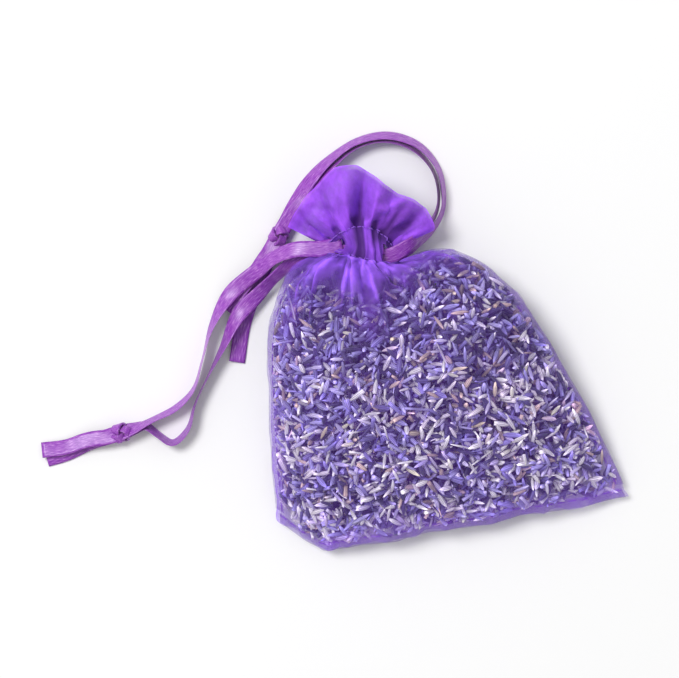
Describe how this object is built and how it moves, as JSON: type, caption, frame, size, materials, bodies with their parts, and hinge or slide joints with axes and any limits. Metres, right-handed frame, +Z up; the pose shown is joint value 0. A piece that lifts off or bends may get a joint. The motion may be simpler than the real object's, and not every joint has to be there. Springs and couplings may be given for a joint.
{
  "type": "lavender sachet",
  "caption": "Sheer drawstring pouch packed with dried lavender, gathered at the neck into a ruffle and drawn shut by satin ribbons that pull out on both sides.",
  "frame": {"origin": "on the surface that the sachet lies on, under the middle of the pouch's box with its ribbons left out", "axes": "+Y from the bottom seam to the ruffle, +X to the right seen from above, +Z up from the surface"},
  "size_m": [0.1082, 0.0773, 0.0211],
  "materials": {
    "organza": "sheer violet organza with a soft sheen",
    "ruffle_organza": "the same organza in several layers, brighter and less sheer",
    "satin_ribbon": "violet satin with a lengthwise gloss",
    "thread": "matte violet sewing thread",
    "lavender": "dried lavender buds, matte grey violet"
  },
  "bodies": {
    "pouch": {"front_panel": "organza", "back_panel": "organza", "lavender_fill": "lavender", "left_side_seam": "organza", "right_side_seam": "organza", "bottom_seam": "organza", "lower_stitch_row": "thread", "upper_stitch_row": "thread", "front_casing": "organza", "back_casing": "organza", "gathered_hem": "organza", "left_drawstring_loop": "satin_ribbon", "right_drawstring_loop": "satin_ribbon", "front_ruffle": "ruffle_organza", "back_ruffle": "ruffle_organza"},
    "left_drawstring": {"left_strand_a": "satin_ribbon", "left_strand_b": "satin_ribbon", "left_knot": "satin_ribbon", "left_end_a": "satin_ribbon", "left_end_b": "satin_ribbon"},
    "right_drawstring": {"right_strand_a": "satin_ribbon", "right_strand_b": "satin_ribbon", "right_knot": "satin_ribbon", "right_end_a": "satin_ribbon", "right_end_b": "satin_ribbon"}
  },
  "joints": [
    {"name": "left_pull", "type": "slide", "parent": "pouch", "child": "left_drawstring", "axis": [-1, 0, 0], "range_m": [0, 0.0035]},
    {"name": "right_pull", "type": "slide", "parent": "pouch", "child": "right_drawstring", "axis": [1, 0, 0], "range_m": [0, 0.0035]}
  ]
}
